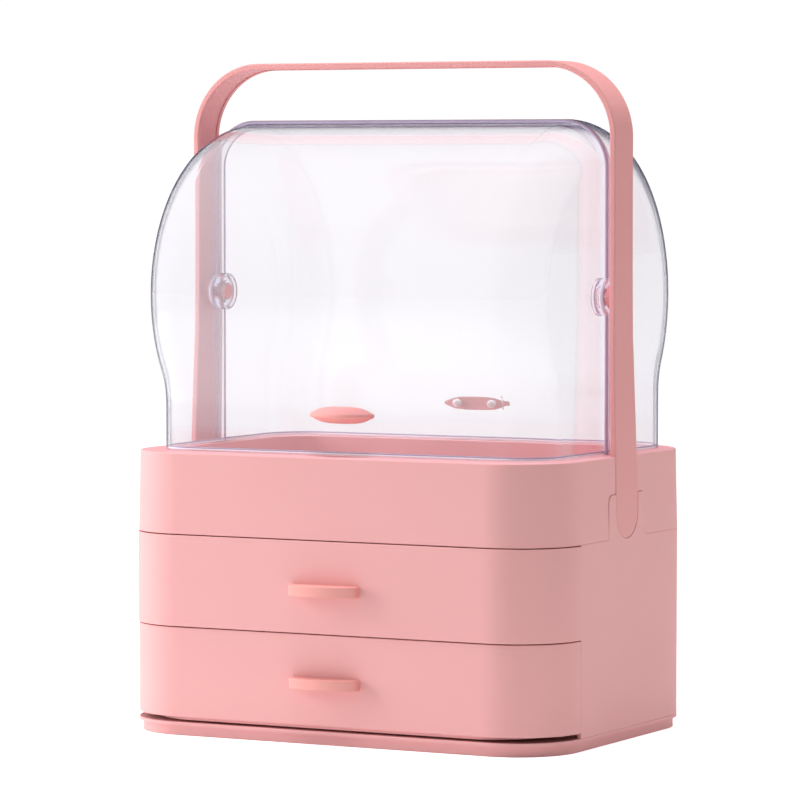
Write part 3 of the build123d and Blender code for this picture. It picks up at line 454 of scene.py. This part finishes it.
@dataclass
class Studio:
    """White surroundings, a pale floor, soft lamps and the camera.

    The world's strength is `backdrop` for camera and transmission rays, `gloom` for glossy rays and
    `ambient` for all others. Lengths are in metres and angles in degrees.
    """

    ambient: float = 0.33
    backdrop: float = 1.03
    gloom: float = 0.10
    floor_radius: float = 14.0
    floor_sides: int = 96
    lamp_aim: tuple[float, float, float] = (0.0, 0.0, 0.16)
    camera_place: tuple[float, float, float] = (1.20213, -2.27902, 0.32682)
    camera_azimuth: float = 27.925
    camera_tilt: float = 3.03
    lens_mm: float = 199.93
    sensor_mm: float = 36.0
    camera_reach: float = 100.0
    lamps: list[SoftBox] = field(default_factory=lambda: [
        SoftBox("left_softbox", azimuth=-70.0, elevation=10.0, distance=1.5,
                width=0.6, height=1.3, watts=28.0),
        SoftBox("right_softbox", azimuth=150.0, elevation=12.0, distance=1.6,
                width=0.6, height=1.2, watts=7.0),
        SoftBox("top_softbox", azimuth=0.0, elevation=86.0, distance=1.7,
                width=0.8, height=0.6, watts=29.0),
    ])

    def build(self) -> None:
        """Makes the world, floor, lamps and camera."""
        self.build_world()
        self.build_floor()
        for lamp in self.lamps:
            lamp.build(Vector(self.lamp_aim))
        self.build_camera()
        bpy.context.scene.view_settings.view_transform = "Standard"

    def build_world(self) -> None:
        """White to the camera and through clear plastic, softer as a light, dim in reflections.

        The dim reflections keep the clear dome's outlines dark. Metal and clear plastic don't show
        the white background in them.
        """
        world = bpy.data.worlds.new("white_studio")
        bpy.context.scene.world = world
        world.use_nodes = True
        tree = world.node_tree
        tree.nodes.clear()
        ray = add_node(tree, "ShaderNodeLightPath")
        seen = add_node(tree, "ShaderNodeMath", links={0: ray.outputs["Is Camera Ray"],
                                                       1: ray.outputs["Is Transmission Ray"]},
                        operation="MAXIMUM")
        unseen = add_node(tree, "ShaderNodeMapRange", {"To Min": self.ambient, "To Max": self.gloom},
                          {"Value": ray.outputs["Is Glossy Ray"]})
        strength = add_node(tree, "ShaderNodeMapRange", {"To Max": self.backdrop},
                            {"Value": seen.outputs[0], "To Min": unseen.outputs["Result"]})
        background = add_node(tree, "ShaderNodeBackground", {"Color": WHITE},
                              {"Strength": strength.outputs["Result"]})
        add_node(tree, "ShaderNodeOutputWorld", links={"Surface": background.outputs[0]})

    def build_floor(self) -> None:
        """A wide pale floor that keeps the case's shadow."""
        mesh = bpy.data.meshes.new("floor")
        shape = bmesh.new()
        bmesh.ops.create_circle(shape, cap_ends=True, segments=self.floor_sides,
                                radius=self.floor_radius)
        shape.to_mesh(mesh)
        shape.free()
        mesh.materials.append(WhitePaper("white_paper_floor", self.backdrop).build())
        floor = bpy.data.objects.new("floor", mesh)
        bpy.context.scene.collection.objects.link(floor)

    def build_camera(self) -> None:
        """The camera at the photograph's place and angle."""
        data = bpy.data.cameras.new("camera")
        data.lens = self.lens_mm
        data.sensor_width = self.sensor_mm
        data.sensor_fit = "HORIZONTAL"
        data.clip_end = self.camera_reach
        camera = bpy.data.objects.new("camera", data)
        camera.location = self.camera_place
        camera.rotation_euler = Euler((math.radians(90.0 - self.camera_tilt), 0.0,
                                       math.radians(self.camera_azimuth)))
        bpy.context.scene.collection.objects.link(camera)
        bpy.context.scene.camera = camera


# ---------------------------------------------------------------- shared steps


def dress(node: str, material: bpy.types.Material) -> None:
    """Gives a kept CAD node its finish and reports it.

    Args:
        node: The CAD node's name.
        material: Its finish.
    """
    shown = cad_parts[node]
    shown.data.materials.clear()
    shown.data.materials.append(material)
    LOG.info("%s: kept, %d faces, %s", node, len(shown.data.polygons), material.name)


def new_piece(name: str, mesh: bpy.types.Mesh, body: str) -> bpy.types.Object:
    """Adds a finished mesh to the scene as a piece that rides on a body.

    Args:
        name: The piece's name.
        mesh: Its final mesh, in place.
        body: The CAD body that carries it.

    Returns:
        The piece.
    """
    piece = bpy.data.objects.new(name, mesh)
    bpy.context.scene.collection.objects.link(piece)
    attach(piece, body)
    LOG.info("%s: made, %d faces, rides on %s", name, len(mesh.polygons), body)
    return piece


def run_tree(name: str, start: bpy.types.Mesh, tree: bpy.types.NodeTree,
             inputs: dict[str, object]) -> bpy.types.Mesh:
    """Runs a geometry tree on a mesh and keeps the result as a plain mesh.

    Args:
        name: Name of the resulting mesh.
        start: Mesh that the tree starts from.
        tree: The geometry tree.
        inputs: Input name to value.

    Returns:
        The finished mesh.
    """
    carrier = bpy.data.objects.new(name + "_carrier", start)
    bpy.context.scene.collection.objects.link(carrier)
    modifier = carrier.modifiers.new("nodes", "NODES")
    modifier.node_group = tree
    for item in tree.interface.items_tree:
        if item.item_type == "SOCKET" and item.in_out == "INPUT" and item.name in inputs:
            modifier[item.identifier] = inputs[item.name]
    evaluated = carrier.evaluated_get(bpy.context.evaluated_depsgraph_get())
    mesh = bpy.data.meshes.new_from_object(evaluated)
    mesh.name = name
    carrier.modifiers.remove(modifier)
    bpy.data.objects.remove(carrier)
    return mesh


def geometry_tree(name: str, inputs: dict[str, str]) -> tuple[bpy.types.NodeTree, dict]:
    """Starts a geometry tree with a geometry input and output and named inputs.

    Args:
        name: The tree's name.
        inputs: Input name to socket type.

    Returns:
        The tree, and a dictionary of its group input's sockets by name.
    """
    tree = bpy.data.node_groups.new(name, "GeometryNodeTree")
    tree.interface.new_socket("Geometry", in_out="INPUT", socket_type="NodeSocketGeometry")
    for label, kind in inputs.items():
        tree.interface.new_socket(label, in_out="INPUT", socket_type=kind)
    tree.interface.new_socket("Geometry", in_out="OUTPUT", socket_type="NodeSocketGeometry")
    group = add_node(tree, "NodeGroupInput")
    return tree, {socket.name: socket for socket in group.outputs if socket.name}


def close_tree(tree: bpy.types.NodeTree, shape: bpy.types.NodeSocket,
               material: bpy.types.NodeSocket) -> None:
    """Ends a geometry tree with real geometry that carries its material.

    Args:
        tree: The geometry tree.
        shape: Socket with the geometry.
        material: Socket with the material.
    """
    real = add_node(tree, "GeometryNodeRealizeInstances", links={0: shape})
    dressed = add_node(tree, "GeometryNodeSetMaterial", links={"Geometry": real.outputs[0],
                                                               "Material": material})
    add_node(tree, "NodeGroupOutput", links={0: dressed.outputs[0]})


# ---------------------------------------------------------------- screws


@dataclass
class ScrewMaker:
    """Pan-head self-tapping screws, one per point, pointing along the point's `way`."""

    head_radius_mm: float = 2.9
    head_height_mm: float = 1.8
    head_flat_mm: float = 0.7
    shank_radius_mm: float = 1.5
    thread_depth_mm: float = 0.32
    thread_pitch_mm: float = 1.2
    slot_width_mm: float = 0.75
    slot_length_mm: float = 3.4
    slot_depth_mm: float = 1.1
    drive: Drive = Drive.CROSS
    sides: int = 20
    head_steps: int = 2
    head_rings: int = 4
    rings_per_pitch: int = 4
    seed: int = 5

    def tree(self) -> bpy.types.NodeTree:
        """Builds the tree that stands one screw on each point.

        Returns:
            The tree. Its inputs are the sizes in metres, the shank's length and the material.
        """
        sizes = ("Head Radius", "Head Height", "Head Flat", "Shank Radius", "Shank Length",
                 "Thread Depth", "Thread Pitch", "Slot Width", "Slot Length", "Slot Depth")
        kinds = {size: "NodeSocketFloat" for size in sizes}
        tree, given = geometry_tree("pan_head_screws", {**kinds, "Material": "NodeSocketMaterial"})
        head = self.head(tree, given)
        shank = self.shank(tree, given)
        screw = add_node(tree, "GeometryNodeJoinGeometry")
        tree.links.new(shank, screw.inputs[0])
        tree.links.new(head, screw.inputs[0])
        way = add_node(tree, "GeometryNodeInputNamedAttribute", {"Name": "way"},
                       data_type="FLOAT_VECTOR")
        turn = add_node(tree, "FunctionNodeAlignRotationToVector", links={"Vector": way.outputs[0]},
                        axis="Z")
        stood = add_node(tree, "GeometryNodeInstanceOnPoints",
                         links={"Points": given["Geometry"], "Instance": screw.outputs[0],
                                "Rotation": turn.outputs[0]})
        spin = add_node(tree, "FunctionNodeRandomValue", {"Seed": self.seed, "Max": math.pi},
                        data_type="FLOAT")
        about = add_node(tree, "ShaderNodeCombineXYZ", links={"Z": spin.outputs[1]})
        driven = add_node(tree, "GeometryNodeRotateInstances",
                          links={"Instances": stood.outputs[0], "Rotation": about.outputs[0]})
        close_tree(tree, driven.outputs[0], given["Material"])
        return tree

    def head(self, tree: bpy.types.NodeTree, given: dict) -> bpy.types.NodeSocket:
        """Domed head above its seat, with the driver's recess cut in.

        Args:
            tree: The geometry tree.
            given: The tree's input sockets by name.

        Returns:
            Socket with the head's geometry.
        """
        half = add_node(tree, "ShaderNodeMath", {1: 0.5}, {0: given["Head Height"]},
                        operation="MULTIPLY")
        lift = add_node(tree, "ShaderNodeCombineXYZ", links={"Z": half.outputs[0]})
        blank = add_node(tree, "GeometryNodeMeshCylinder",
                         {"Vertices": 2 * self.sides, "Side Segments": self.head_steps,
                          "Fill Segments": self.head_rings},
                         {"Radius": given["Head Radius"], "Depth": given["Head Height"]},
                         fill_type="TRIANGLE_FAN")
        raised = add_node(tree, "GeometryNodeTransform", links={"Geometry": blank.outputs["Mesh"],
                                                                "Translation": lift.outputs[0]})
        place = add_node(tree, "GeometryNodeInputPosition")
        split = add_node(tree, "ShaderNodeSeparateXYZ", links={0: place.outputs[0]})
        flat = add_node(tree, "ShaderNodeCombineXYZ", links={"X": split.outputs["X"],
                                                             "Y": split.outputs["Y"]})
        out = add_node(tree, "ShaderNodeVectorMath", links={0: flat.outputs[0]}, operation="LENGTH")
        share = add_node(tree, "ShaderNodeMath", links={0: out.outputs["Value"],
                                                        1: given["Head Radius"]}, operation="DIVIDE")
        square = add_node(tree, "ShaderNodeMath", links={0: share.outputs[0], 1: share.outputs[0]},
                          operation="MULTIPLY")
        fall = add_node(tree, "ShaderNodeMath", links={0: given["Head Height"], 1: given["Head Flat"]},
                        operation="SUBTRACT")
        drop = add_node(tree, "ShaderNodeMath", links={0: square.outputs[0], 1: fall.outputs[0]},
                        operation="MULTIPLY")
        height = add_node(tree, "ShaderNodeMath", links={0: split.outputs["Z"],
                                                         1: given["Head Height"]}, operation="DIVIDE")
        down = add_node(tree, "ShaderNodeMath", links={0: drop.outputs[0], 1: height.outputs[0]},
                        operation="MULTIPLY")
        less = add_node(tree, "ShaderNodeMath", {1: -1.0}, {0: down.outputs[0]}, operation="MULTIPLY")
        offset = add_node(tree, "ShaderNodeCombineXYZ", links={"Z": less.outputs[0]})
        domed = add_node(tree, "GeometryNodeSetPosition", links={"Geometry": raised.outputs[0],
                                                                 "Offset": offset.outputs[0]})
        bar_size = add_node(tree, "ShaderNodeCombineXYZ", links={"X": given["Slot Length"],
                                                                 "Y": given["Slot Width"],
                                                                 "Z": given["Slot Depth"]})
        bar = add_node(tree, "GeometryNodeMeshCube", links={"Size": bar_size.outputs[0]})
        seat = add_node(tree, "ShaderNodeCombineXYZ", links={"Z": given["Head Height"]})
        cutters = []
        for turn in range(self.drive.value):
            cutter = add_node(tree, "GeometryNodeTransform",
                              {"Rotation": (0.0, 0.0, turn * math.pi / self.drive.value)},
                              {"Geometry": bar.outputs["Mesh"], "Translation": seat.outputs[0]})
            cutters.append(cutter.outputs[0])
        cut = add_node(tree, "GeometryNodeMeshBoolean", links={"Mesh 1": domed.outputs[0]},
                       operation="DIFFERENCE", solver="EXACT")
        for cutter in cutters:
            tree.links.new(cutter, cut.inputs["Mesh 2"])
        return cut.outputs["Mesh"]

    def shank(self, tree: bpy.types.NodeTree, given: dict) -> bpy.types.NodeSocket:
        """Shank below the seat, with a thread that winds along it.

        Args:
            tree: The geometry tree.
            given: The tree's input sockets by name.

        Returns:
            Socket with the shank's geometry.
        """
        rings = add_node(tree, "ShaderNodeMath", links={0: given["Shank Length"],
                                                        1: given["Thread Pitch"]}, operation="DIVIDE")
        count = add_node(tree, "ShaderNodeMath", {1: float(self.rings_per_pitch)},
                         {0: rings.outputs[0]}, operation="MULTIPLY")
        half = add_node(tree, "ShaderNodeMath", {1: -0.5}, {0: given["Shank Length"]},
                        operation="MULTIPLY")
        down = add_node(tree, "ShaderNodeCombineXYZ", links={"Z": half.outputs[0]})
        rod = add_node(tree, "GeometryNodeMeshCylinder", {"Vertices": self.sides},
                       {"Radius": given["Shank Radius"], "Depth": given["Shank Length"],
                        "Side Segments": count.outputs[0]})
        lowered = add_node(tree, "GeometryNodeTransform", links={"Geometry": rod.outputs["Mesh"],
                                                                 "Translation": down.outputs[0]})
        place = add_node(tree, "GeometryNodeInputPosition")
        split = add_node(tree, "ShaderNodeSeparateXYZ", links={0: place.outputs[0]})
        angle = add_node(tree, "ShaderNodeMath", links={0: split.outputs["Y"], 1: split.outputs["X"]},
                         operation="ARCTAN2")
        around = add_node(tree, "ShaderNodeMath", {1: 2 * math.pi}, {0: angle.outputs[0]},
                          operation="DIVIDE")
        along = add_node(tree, "ShaderNodeMath", links={0: split.outputs["Z"],
                                                        1: given["Thread Pitch"]}, operation="DIVIDE")
        phase = add_node(tree, "ShaderNodeMath", links={0: around.outputs[0], 1: along.outputs[0]},
                         operation="ADD")
        wave = add_node(tree, "ShaderNodeMath", {1: 0.5}, {0: phase.outputs[0]}, operation="PINGPONG")
        ridge = add_node(tree, "ShaderNodeMath", {1: 2.0}, {0: wave.outputs[0]}, operation="MULTIPLY")
        depth = add_node(tree, "ShaderNodeMath", links={0: ridge.outputs[0], 1: given["Thread Depth"]},
                         operation="MULTIPLY")
        inward = add_node(tree, "ShaderNodeMath", links={0: depth.outputs[0], 1: given["Shank Radius"]},
                          operation="DIVIDE")
        less = add_node(tree, "ShaderNodeMath", {1: -1.0}, {0: inward.outputs[0]}, operation="MULTIPLY")
        flat = add_node(tree, "ShaderNodeCombineXYZ", links={"X": split.outputs["X"],
                                                             "Y": split.outputs["Y"]})
        shift = add_node(tree, "ShaderNodeVectorMath", links={0: flat.outputs[0]}, operation="SCALE")
        tree.links.new(less.outputs[0], shift.inputs["Scale"])
        threaded = add_node(tree, "GeometryNodeSetPosition", links={"Geometry": lowered.outputs[0],
                                                                    "Offset": shift.outputs[0]})
        return threaded.outputs[0]

    def build(self, name: str, nodes: tuple[str, ...], body: str,
              material: bpy.types.Material) -> bpy.types.Object:
        """Makes the screws of one body in place of its CAD screws.

        Args:
            name: The piece's name.
            nodes: CAD nodes that the piece stands for.
            body: The CAD body that carries them.
            material: The screws' finish.

        Returns:
            The piece, one mesh with all these screws.
        """
        meshes = []
        for node in nodes:
            seats = screw_seats(node, self.head_radius_mm * MM, self.head_height_mm * MM)
            points = bpy.data.meshes.new(node + "_seats")
            points.from_pydata([seat for seat, _, _ in seats], [], [])
            way = points.attributes.new("way", "FLOAT_VECTOR", "POINT")
            for i, (_, direction, _) in enumerate(seats):
                way.data[i].vector = direction
            inputs = {"Head Radius": self.head_radius_mm, "Head Height": self.head_height_mm,
                      "Head Flat": self.head_flat_mm, "Shank Radius": self.shank_radius_mm,
                      "Thread Depth": self.thread_depth_mm, "Thread Pitch": self.thread_pitch_mm,
                      "Slot Width": self.slot_width_mm, "Slot Length": self.slot_length_mm,
                      "Slot Depth": self.slot_depth_mm}
            inputs = {label: value * MM for label, value in inputs.items()}
            inputs["Shank Length"] = seats[0][2]
            inputs["Material"] = material
            meshes.append(run_tree(node + "_detailed", points, self.tree(), inputs))
        mesh = joined(name, meshes)
        piece = new_piece(name, mesh, body)
        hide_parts(*nodes)
        return piece


def screw_seats(node: str, head_radius: float,
                head_height: float) -> list[tuple[Vector, Vector, float]]:
    """Finds where the screws of a CAD node sit.

    Args:
        node: CAD node with one or more separate screws.
        head_radius: Their heads' radius in metres.
        head_height: Their heads' height in metres.

    Returns:
        For each screw the middle of its seat, the way its head faces and its shank's length.
    """
    shape = bmesh.new()
    shape.from_mesh(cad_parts[node].data)
    bmesh.ops.remove_doubles(shape, verts=shape.verts, dist=WELD_DISTANCE)
    left, seats = set(shape.verts), []
    while left:
        reached, edge = set(), [min(left, key=lambda v: v.index)]
        while edge:
            vert = edge.pop()
            if vert not in reached:
                reached.add(vert)
                edge.extend(link.other_vert(vert) for link in vert.link_edges)
        left -= reached
        low = Vector([min(v.co[i] for v in reached) for i in range(3)])
        high = Vector([max(v.co[i] for v in reached) for i in range(3)])
        middle, size = (low + high) / 2, high - low
        axis = max(range(3), key=lambda i: abs(size[i] - 2 * head_radius))
        wide = [v.co[axis] for v in reached
                if sum((v.co[i] - middle[i]) ** 2 for i in range(3) if i != axis)
                > (RIM_SHARE * head_radius) ** 2]
        facing = 1.0 if sum(wide) / len(wide) > middle[axis] else -1.0
        way = Vector([facing if i == axis else 0.0 for i in range(3)])
        seat = middle + way * (size[axis] / 2 - head_height)
        seats.append((seat, way, size[axis] - head_height))
    shape.free()
    return sorted(seats, key=lambda entry: tuple(entry[0]))


def joined(name: str, meshes: list[bpy.types.Mesh]) -> bpy.types.Mesh:
    """Joins meshes that share one material.

    Args:
        name: Name of the result.
        meshes: Meshes to join.

    Returns:
        One mesh with the faces of all, crisp where it is bent by more than CREASE_DEGREES.
    """
    shape = bmesh.new()
    for mesh in meshes:
        shape.from_mesh(mesh)
    result = bpy.data.meshes.new(name)
    shape.to_mesh(result)
    shape.free()
    result.materials.append(meshes[0].materials[0])
    result.set_sharp_from_angle(angle=math.radians(CREASE_DEGREES))
    return result


# ---------------------------------------------------------------- dome doors


@dataclass(frozen=True)
class Bead:
    """Round bead of clear plastic run along a path by a geometry tree."""

    radius_mm: float
    step_mm: float = 2.0
    sides: int = 12

    def tree(self) -> bpy.types.NodeTree:
        """Builds the tree that runs a round bead along a path.

        Returns:
            The tree. Its inputs are the bead's radius, the step along the path and the material.
        """
        tree, given = geometry_tree("round_bead", {"Bead Radius": "NodeSocketFloat",
                                                   "Step": "NodeSocketFloat",
                                                   "Material": "NodeSocketMaterial"})
        line = add_node(tree, "GeometryNodeMeshToCurve", links={"Mesh": given["Geometry"]})
        even = add_node(tree, "GeometryNodeResampleCurve", links={"Curve": line.outputs[0],
                                                                  "Length": given["Step"]},
                        mode="LENGTH")
        ring = add_node(tree, "GeometryNodeCurvePrimitiveCircle", {"Resolution": self.sides},
                        {"Radius": given["Bead Radius"]})
        bead = add_node(tree, "GeometryNodeCurveToMesh", {"Fill Caps": True},
                        {"Curve": even.outputs[0], "Profile Curve": ring.outputs[0]})
        smooth = add_node(tree, "GeometryNodeSetShadeSmooth", links={0: bead.outputs[0]})
        close_tree(tree, smooth.outputs[0], given["Material"])
        return tree

    def build(self, name: str, points: list[Vector], material: bpy.types.Material) -> bpy.types.Mesh:
        """Makes the bead's mesh.

        Args:
            name: The mesh's name.
            points: The path, in metres.
            material: The bead's finish.

        Returns:
            The mesh, in place.
        """
        line = bpy.data.meshes.new(name + "_path")
        line.from_pydata(points, [(i, i + 1) for i in range(len(points) - 1)], [])
        return run_tree(name, line, self.tree(), {"Bead Radius": self.radius_mm * MM,
                                                  "Step": self.step_mm * MM, "Material": material})


@dataclass
class DoorEdges:
    """Edges of one door's sheet, each seen as a thin line.

    The rim follows the free edge up one end wall, round the pivot's lobe, over the top and down the
    other. The foot's painted highlight, a near-white bead along its underside, and its violet upper
    line follow the skirt round the front or the rear. The sizes say where these lines run within the
    sheet: the end walls' X, heights above the floor, the skirt's reach in Y, and the round between one
    wall and the next.
    """

    side: Side
    half_length_mm: float
    top_mm: float
    skirt_mm: float
    corner_mm: float
    foot_mm: float = 163.0
    lobe_mm: float = 10.8
    overlap_mm: float = 3.0
    rim: Bead = Bead(0.98)
    foot: Bead = Bead(0.6)
    foot_rise_mm: float = 0.45
    line: Bead = Bead(0.4)
    line_rise_mm: float = 1.45
    arc_steps: int = 18

    def rim_path(self) -> list[Vector]:
        """Points of the rim's middle line, in metres.

        Returns:
            The points, from the left foot over the top to the right foot.
        """
        x, y = self.half_length_mm, -self.side.value * self.overlap_mm
        lobe = self.lobe_mm - self.rim.radius_mm
        reach = math.asin(self.overlap_mm / lobe)
        half = [(x, y, self.foot_mm)]
        for i in range(self.arc_steps + 1):
            angle = -(math.pi / 2 - reach) + i * (math.pi - 2 * reach) / self.arc_steps
            half.append((x, -self.side.value * lobe * math.cos(angle),
                         PIVOT_MM + lobe * math.sin(angle)))
        for i in range(self.arc_steps + 1):
            angle = i * math.pi / 2 / self.arc_steps
            half.append((x - self.corner_mm * (1 - math.cos(angle)), y,
                         self.top_mm - self.corner_mm * (1 - math.sin(angle))))
        return self.both_halves(half)

    def foot_path(self, rise_mm: float) -> list[Vector]:
        """Points of a line round the door's foot, in metres.

        Args:
            rise_mm: Height of the line above the foot.

        Returns:
            The points, from the left end wall round the skirt to the right one.
        """
        x, z = self.half_length_mm, self.foot_mm + rise_mm
        half = [(x, -self.side.value * self.overlap_mm, z)]
        for i in range(self.arc_steps + 1):
            angle = i * math.pi / 2 / self.arc_steps
            out = self.skirt_mm - self.corner_mm * (1 - math.sin(angle))
            half.append((x - self.corner_mm * (1 - math.cos(angle)), self.side.value * out, z))
        return self.both_halves(half)

    @staticmethod
    def both_halves(half: list[tuple[float, float, float]]) -> list[Vector]:
        """Mirrors a right half in millimetres and joins both halves, in metres."""
        return [Vector(p) * MM for p in [(-x, y, z) for x, y, z in half] + half[::-1]]

    def build(self, body: str, finishes: Finishes) -> None:
        """Makes the rim and the foot's two lines.

        Args:
            body: The door's body.
            finishes: The case's materials.
        """
        rim = self.rim.build(body + "_rim", self.rim_path(), finishes.edge)
        line = self.line.build(body + "_line", self.foot_path(self.line_rise_mm), finishes.edge)
        new_piece(body + "_rim", joined(body + "_rim_and_line", [rim, line]), body)
        # The foot's near-white bead is a painted highlight.
        foot = self.foot.build(body + "_foot", self.foot_path(self.foot_rise_mm), finishes.foot)
        new_piece(body + "_foot", foot, body)


@dataclass
class DomeDoor:
    """One clear door of the dome, with the lines of its edges, its knob and the knob's screws."""

    body: str
    edges: DoorEdges

    def build(self, finishes: Finishes) -> None:
        """Dresses the door's nodes and makes its edges and screws.

        Args:
            finishes: The case's materials.
        """
        dress(self.body + "_shell", finishes.clear)
        dress(self.body + "_knob", finishes.grip)
        self.edges.build(self.body, finishes)
        screws = self.body.removesuffix("_door") + "_knob_screws"
        ScrewMaker().build(screws + "_detailed", (screws,), self.body, finishes.steel)


# ---------------------------------------------------------------- drawers, carcass and handle


@dataclass
class Drawer:
    """One drawer: front, tub, pull and the pull's screws."""

    storey: str

    def build(self, finishes: Finishes) -> None:
        """Dresses the drawer's nodes and makes its screws.

        Args:
            finishes: The case's materials.
        """
        body = self.storey + "_drawer"
        dress(body + "_front", finishes.drawer)
        dress(body + "_tub", finishes.tub)
        dress(body + "_pull", finishes.grip)
        screws = self.storey + "_pull_screws"
        ScrewMaker().build(screws + "_detailed", (screws,), body, finishes.steel)


@dataclass
class Carcass:
    """The standing part: base, shell, shelf, tray, handle, pivot pins and their screws."""

    mouldings: tuple[str, ...] = ("base_plate", "cabinet_shell", "mid_shelf", "top_tray")
    handle_pieces: tuple[str, ...] = ("handle", "left_pivot_pin", "right_pivot_pin")
    screws: tuple[str, ...] = ("base_screws", "tray_screws", "handle_screws")

    def build(self, finishes: Finishes) -> None:
        """Dresses the carcass's nodes and makes its screws.

        Args:
            finishes: The case's materials.
        """
        for node in self.mouldings:
            dress(node, finishes.case)
        for node in self.handle_pieces:
            dress(node, finishes.handle)
        ScrewMaker().build("case_screws_detailed", self.screws, "case", finishes.steel)


def main() -> None:
    """Builds the studio and the case in order."""
    logging.basicConfig(level=logging.INFO, format="%(name)s: %(message)s")
    Studio().build()
    finishes = Finishes()
    Carcass().build(finishes)
    Drawer("upper").build(finishes)
    Drawer("lower").build(finishes)
    DomeDoor("front_door", DoorEdges(Side.FRONT, half_length_mm=125.2, top_mm=349.0, skirt_mm=80.0,
                                     corner_mm=23.7)).build(finishes)
    DomeDoor("rear_door", DoorEdges(Side.REAR, half_length_mm=128.0, top_mm=351.75, skirt_mm=86.0,
                                    corner_mm=26.5)).build(finishes)


if __name__ == "__main__":
    main()
